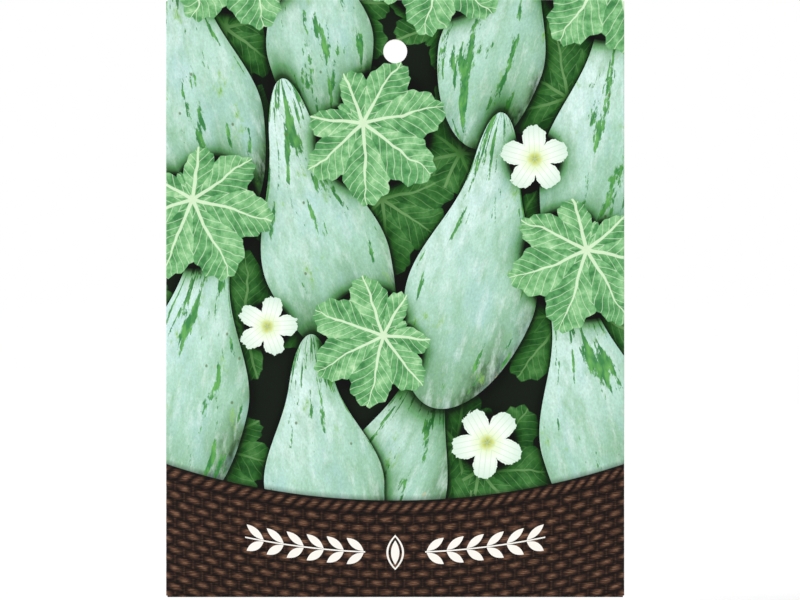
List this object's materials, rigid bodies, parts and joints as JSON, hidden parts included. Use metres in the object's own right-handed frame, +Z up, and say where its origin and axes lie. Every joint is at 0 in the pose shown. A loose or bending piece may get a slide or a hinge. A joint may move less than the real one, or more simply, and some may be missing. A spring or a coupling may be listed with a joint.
{
  "type": "seed packet",
  "caption": "Flat folded paper seed packet with a punched hang hole and glued back flaps, holding loose gourd seeds.",
  "frame": {"origin": "centre of the punched hang hole, midway between the packet's front and back", "axes": "+Z up towards the top fold, -Y out of the printed front, +Y out of the back with the flaps, +X to the right as seen from the front"},
  "size_m": [0.115, 0.0062, 0.15],
  "materials": {
    "printed_paper": "coated paper, printed and satin varnished outside, bare inside",
    "seed_coat": "dry, hard and slightly rough"
  },
  "bodies": {
    "root": {"paper_envelope": "printed_paper", "seed_01": "seed_coat", "seed_02": "seed_coat", "seed_03": "seed_coat", "seed_04": "seed_coat", "seed_05": "seed_coat", "seed_06": "seed_coat", "seed_07": "seed_coat", "seed_08": "seed_coat", "seed_09": "seed_coat", "seed_10": "seed_coat", "seed_11": "seed_coat", "seed_12": "seed_coat"}
  },
  "joints": []
}
